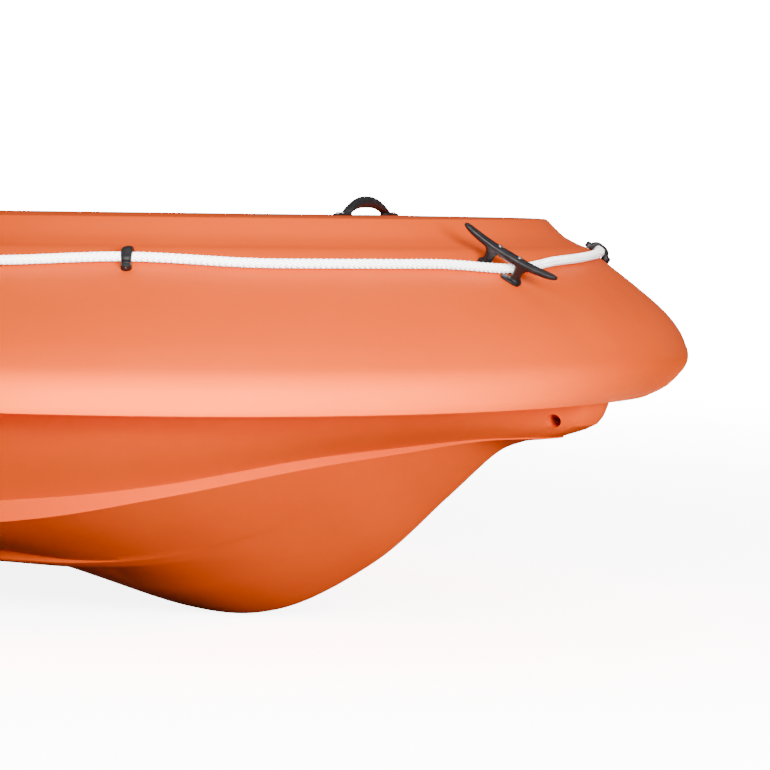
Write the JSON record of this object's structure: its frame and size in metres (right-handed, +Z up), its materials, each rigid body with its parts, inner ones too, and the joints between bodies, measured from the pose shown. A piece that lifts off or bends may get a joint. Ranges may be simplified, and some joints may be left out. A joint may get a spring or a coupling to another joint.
{
  "type": "plastic dinghy",
  "caption": "Rotomoulded dinghy with a broad tube-like collar, deep forefoot, chine strips, seats, hinged locker lid, swivelling rowlocks, motor board and lifeline.",
  "frame": {"origin": "on the floor under the middle of the boat's length, on the centreline", "axes": "+X toward the bow, +Y to port, +Z up, parked on the forefoot and the aft ends of the runners"},
  "size_m": [2.9968, 1.436, 0.6388],
  "materials": {
    "polyethylene": "satin moulded orange polyethylene",
    "nylon": "black moulded nylon",
    "rope": "white braided polyester",
    "steel": "stainless steel"
  },
  "bodies": {
    "boat": {"bow_cleat": "nylon", "bow_handle": "nylon", "bow_locker_hinge": "nylon", "centre_thwart": "polyethylene", "cockpit_sole": "polyethylene", "collar": "polyethylene", "drain_bung": "nylon", "drain_flange": "nylon", "foredeck": "polyethylene", "hull": "polyethylene", "lifeline": "rope", "lifeline_holder_bow": "nylon", "lifeline_holder_port_1": "nylon", "lifeline_holder_port_2": "nylon", "lifeline_holder_port_3": "nylon", "lifeline_holder_port_4": "nylon", "lifeline_holder_starboard_1": "nylon", "lifeline_holder_starboard_2": "nylon", "lifeline_holder_starboard_3": "nylon", "lifeline_holder_starboard_4": "nylon", "motor_pad_inner": "nylon", "motor_pad_outer": "nylon", "rowlock_socket_port": "nylon", "rowlock_socket_starboard": "nylon", "stern_bench": "polyethylene", "stern_eye_port": "steel", "stern_eye_starboard": "steel", "stern_handle_port": "nylon", "stern_handle_starboard": "nylon", "transom": "polyethylene"},
    "locker_lid": {"bow_locker_lid": "polyethylene"},
    "rowlock_port": {"rowlock_port": "steel"},
    "rowlock_starboard": {"rowlock_starboard": "steel"}
  },
  "joints": [
    {"name": "locker_lid_hinge", "type": "hinge", "parent": "boat", "child": "locker_lid", "pos_m": [0.86581, 0, 0.32505], "axis": [0, 1, 0], "range_deg": [0, 100]},
    {"name": "rowlock_port_swivel", "type": "hinge", "parent": "boat", "child": "rowlock_port", "pos_m": [-0.54773, 0.502, 0.55696], "axis": [-0.0297, 0, 0.9996], "continuous": true},
    {"name": "rowlock_starboard_swivel", "type": "hinge", "parent": "boat", "child": "rowlock_starboard", "pos_m": [-0.54773, -0.502, 0.55696], "axis": [-0.0297, 0, 0.9996], "continuous": true}
  ]
}
